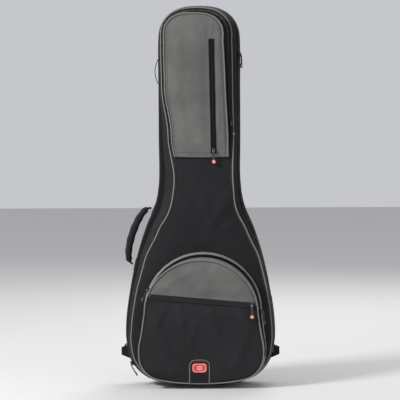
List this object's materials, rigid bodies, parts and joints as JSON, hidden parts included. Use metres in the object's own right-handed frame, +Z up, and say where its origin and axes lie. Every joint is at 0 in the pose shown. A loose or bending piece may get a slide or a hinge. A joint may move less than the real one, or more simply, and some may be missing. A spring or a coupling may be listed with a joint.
{
  "type": "padded gig bag",
  "caption": "Padded soft case for a full-size guitar, standing upright, with a hinged lid, arched lower pocket, neck pocket, side handle and backpack straps.",
  "frame": {"origin": "centre of the flat patch that the bag stands on, in line with the middle of its depth", "axes": "+Z up the bag's length, -Y out of the pockets, +X to the right as the pockets are faced"},
  "size_m": [0.448, 0.2213, 1.09],
  "materials": {
    "black_cloth": "matte",
    "grey_cloth": "matte",
    "pale_trim": "matte",
    "piping": "satin",
    "plush_lining": "matte",
    "padding_foam": "matte",
    "zip_tape": "satin",
    "slider_metal": "satin",
    "pull_rubber": "satin",
    "badge_red": "gloss",
    "buckle_plastic": "satin",
    "webbing": "matte",
    "grip_cloth": "matte"
  },
  "bodies": {
    "case": {"back_panel_shell": "black_cloth", "back_panel_foam": "padding_foam", "back_panel_lining": "plush_lining", "rear_gusset_band": "black_cloth", "main_zip_tape_rear": "zip_tape", "rear_piping": "piping", "neck_cradle": "plush_lining", "end_pin_pad": "padding_foam", "lid_fold_strip": "black_cloth", "handle_anchor_top": "webbing", "handle_anchor_bottom": "webbing", "strap_yoke": "webbing", "shoulder_strap_left": "black_cloth", "ladder_lock_left": "buckle_plastic", "strap_webbing_left": "webbing", "strap_tab_left": "webbing", "shoulder_strap_right": "black_cloth", "ladder_lock_right": "buckle_plastic", "strap_webbing_right": "webbing", "strap_tab_right": "webbing"},
    "lid": {"front_panel_shell": "black_cloth", "front_panel_foam": "padding_foam", "front_panel_lining": "plush_lining", "front_gusset_band": "black_cloth", "main_zip_tape_front": "zip_tape", "front_piping": "piping", "upper_pocket_gusset": "black_cloth", "upper_pocket_gusset_zip": "zip_tape", "upper_pocket_piping": "piping", "upper_pocket_panel": "grey_cloth", "lower_pocket_gusset_rear": "pale_trim", "lower_pocket_gusset_zip": "zip_tape", "lower_pocket_gusset_front": "grey_cloth", "lower_pocket_gusset_bottom": "grey_cloth", "lower_pocket_piping": "piping", "lower_pocket_top_panel": "grey_cloth", "lower_pocket_bottom_panel": "black_cloth", "upper_front_zip_tape": "zip_tape", "lower_front_zip_tape": "zip_tape", "badge_tab": "black_cloth", "badge": "badge_red"},
    "main_zip_a_slider": {"main_zip_a_slider": "slider_metal"},
    "main_zip_a_pull": {"main_zip_a_pull": "pull_rubber"},
    "main_zip_b_slider": {"main_zip_b_slider": "slider_metal"},
    "main_zip_b_pull": {"main_zip_b_pull": "pull_rubber"},
    "upper_side_zip_slider": {"upper_side_zip_slider": "slider_metal"},
    "upper_side_zip_pull": {"upper_side_zip_pull": "pull_rubber"},
    "upper_front_zip_slider": {"upper_front_zip_slider": "slider_metal"},
    "upper_front_zip_pull": {"upper_front_zip_pull": "pull_rubber"},
    "lower_left_zip_slider": {"lower_left_zip_slider": "slider_metal"},
    "lower_left_zip_pull": {"lower_left_zip_pull": "pull_rubber"},
    "lower_right_zip_slider": {"lower_right_zip_slider": "slider_metal"},
    "lower_right_zip_pull": {"lower_right_zip_pull": "pull_rubber"},
    "lower_front_zip_slider": {"lower_front_zip_slider": "slider_metal"},
    "lower_front_zip_pull": {"lower_front_zip_pull": "pull_rubber"},
    "neck_strap_left": {"neck_strap_left": "webbing"},
    "neck_strap_right": {"neck_strap_right": "webbing"},
    "handle_grip": {"handle_grip": "grip_cloth"},
    "neck_side_loop": {"neck_side_loop": "webbing"}
  },
  "joints": [
    {"name": "lid_hinge", "type": "hinge", "parent": "case", "child": "lid", "pos_m": [0.2171, -0.032, 0], "axis": [0, 0, 1], "range_deg": [0, 170]},
    {"name": "main_zip_a_travel", "type": "slide", "parent": "case", "child": "main_zip_a_slider", "axis": [0.0005, 0, -1], "range_m": [-0.025, 0.34]},
    {"name": "main_zip_a_pull_swing", "type": "hinge", "parent": "main_zip_a_slider", "child": "main_zip_a_pull", "pos_m": [0.12086, -0.03612, 0.95], "axis": [-0.4292, -0.9032, -0.0002], "range_deg": [0, 150]},
    {"name": "main_zip_b_travel", "type": "hinge", "parent": "case", "child": "main_zip_b_slider", "pos_m": [-0.10932, -0.032, 0.11397], "axis": [0, 1, 0], "range_deg": [-15.37, 15.37]},
    {"name": "main_zip_b_pull_swing", "type": "hinge", "parent": "main_zip_b_slider", "child": "main_zip_b_pull", "pos_m": [-0.20157, -0.0345, 0.06144], "axis": [-0.2268, 0.9655, -0.1282], "range_deg": [0, 150]},
    {"name": "upper_side_zip_travel", "type": "slide", "parent": "lid", "child": "upper_side_zip_slider", "axis": [-0.0328, -0.076, 0.9966], "range_m": [-0.0101, 0.2106]},
    {"name": "upper_side_zip_pull_swing", "type": "hinge", "parent": "upper_side_zip_slider", "child": "upper_side_zip_pull", "pos_m": [0.09627, -0.07039, 0.75559], "axis": [0.0025, -0.9971, -0.0759], "range_deg": [0, 150]},
    {"name": "upper_front_zip_travel", "type": "slide", "parent": "lid", "child": "upper_front_zip_slider", "axis": [-0.0183, -0.1097, 0.9938], "range_m": [0, 0.308]},
    {"name": "upper_front_zip_pull_swing", "type": "hinge", "parent": "upper_front_zip_slider", "child": "upper_front_zip_pull", "pos_m": [0.03982, -0.07603, 0.67687], "axis": [-0.9998, 0.002, -0.0182], "range_deg": [0, 150]},
    {"name": "lower_left_zip_travel", "type": "hinge", "parent": "lid", "child": "lower_left_zip_slider", "pos_m": [0.008, -0.09605, 0.218], "axis": [0, 1, 0], "range_deg": [-22.5, 61.5]},
    {"name": "lower_left_zip_pull_swing", "type": "hinge", "parent": "lower_left_zip_slider", "child": "lower_left_zip_pull", "pos_m": [-0.15164, -0.09605, 0.28362], "axis": [0, 1, 0], "range_deg": [0, 150]},
    {"name": "lower_right_zip_travel", "type": "hinge", "parent": "lid", "child": "lower_right_zip_slider", "pos_m": [0.008, -0.09605, 0.218], "axis": [0, 1, 0], "range_deg": [-84, 0]},
    {"name": "lower_right_zip_pull_swing", "type": "hinge", "parent": "lower_right_zip_slider", "child": "lower_right_zip_pull", "pos_m": [0.17982, -0.09605, 0.21873], "axis": [0, -1, 0], "range_deg": [0, 150]},
    {"name": "lower_front_zip_travel", "type": "slide", "parent": "lid", "child": "lower_front_zip_slider", "axis": [-0.9962, 0, 0.0872], "range_m": [0, 0.2817]},
    {"name": "lower_front_zip_pull_swing", "type": "hinge", "parent": "lower_front_zip_slider", "child": "lower_front_zip_pull", "pos_m": [0.14662, -0.125, 0.23835], "axis": [-1, 0, 0], "range_deg": [0, 150]},
    {"name": "neck_strap_left_swing", "type": "hinge", "parent": "case", "child": "neck_strap_left", "pos_m": [-0.0445, 0.0012, 0.68], "axis": [0, 0, -1], "range_deg": [0, 85]},
    {"name": "neck_strap_right_swing", "type": "hinge", "parent": "case", "child": "neck_strap_right", "pos_m": [0.0445, 0.0012, 0.68], "axis": [0, 0, 1], "range_deg": [0, 85]},
    {"name": "handle_swing", "type": "hinge", "parent": "case", "child": "handle_grip", "pos_m": [-0.14098, 0.022, 0.50806], "axis": [-0.3165, 0, -0.9486], "range_deg": [-55, 55]},
    {"name": "neck_side_loop_swing", "type": "hinge", "parent": "case", "child": "neck_side_loop", "pos_m": [-0.11924, 0.04, 0.938], "axis": [0, 0, -1], "range_deg": [-22, 40]}
  ]
}
